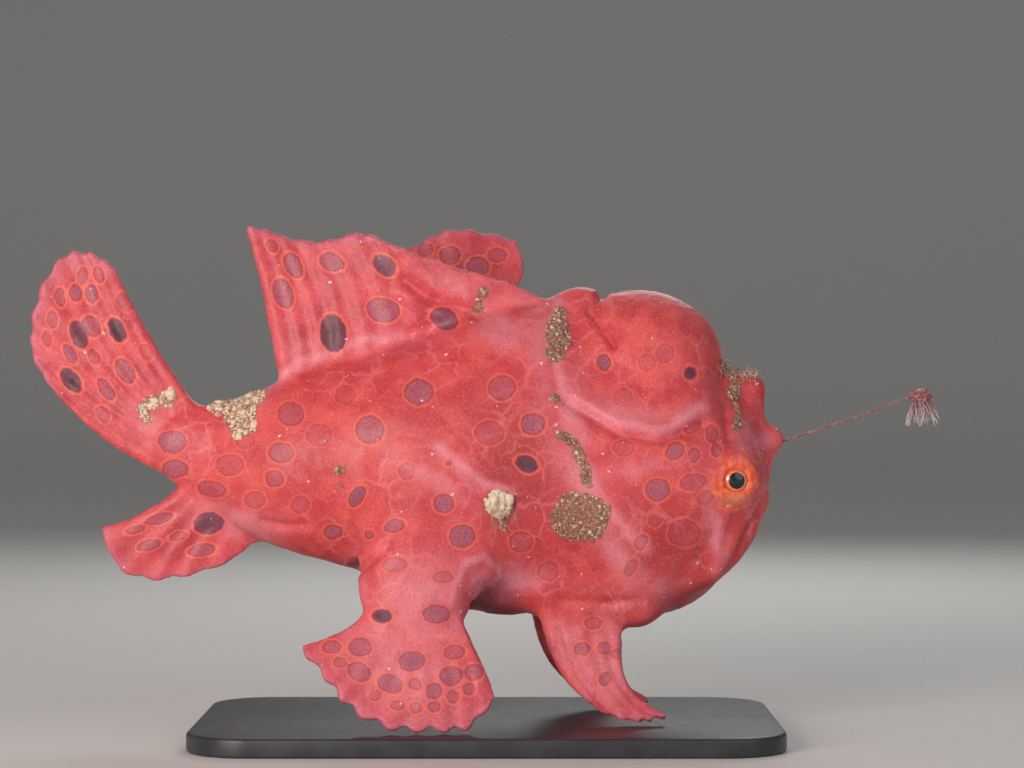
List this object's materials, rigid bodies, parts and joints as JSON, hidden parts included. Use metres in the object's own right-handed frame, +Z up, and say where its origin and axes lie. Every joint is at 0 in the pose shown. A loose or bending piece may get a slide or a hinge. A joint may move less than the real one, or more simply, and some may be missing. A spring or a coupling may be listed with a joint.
{
  "type": "painted frogfish, a still life-size model",
  "caption": "Red-pink frogfish with round dark spots, standing on its spread right hand and front feet on a plain flat base, left hand raised and lure held out.",
  "frame": {"origin": "middle of the base's underside, on the surface that the model stands on", "axes": "+X from the tail towards the snout and lure, +Y towards the fish's left side, +Z up"},
  "size_m": [0.1451, 0.058, 0.0823],
  "materials": {
    "skin": "moist, scaleless skin, orange-red with pink bands and ringed purple-grey spots",
    "fin_skin": "thin moist fin skin over rays, redder at the root and lavender-pink at the margin",
    "eyeball": "glossy eye, black pupil in an orange iris",
    "lure_skin": "thin translucent skin, pinkish, with pale threads",
    "base_board": "satin dark grey display board"
  },
  "bodies": {
    "root": {"stand_base": "base_board", "head": "skin", "lower_jaw": "skin", "third_spine": "skin", "second_spine": "skin", "trunk": "skin", "pectoral_arm_right": "skin", "pectoral_arm_left": "skin", "tail_stalk": "skin", "caudal_fin": "fin_skin", "dorsal_fin": "fin_skin", "anal_fin": "fin_skin", "pectoral_fin_right": "fin_skin", "pectoral_fin_left": "fin_skin", "pelvic_fin_right": "fin_skin", "pelvic_fin_left": "fin_skin", "eye_right": "eyeball", "eye_left": "eyeball", "lure_rod": "lure_skin", "lure_bait": "lure_skin"}
  },
  "joints": []
}
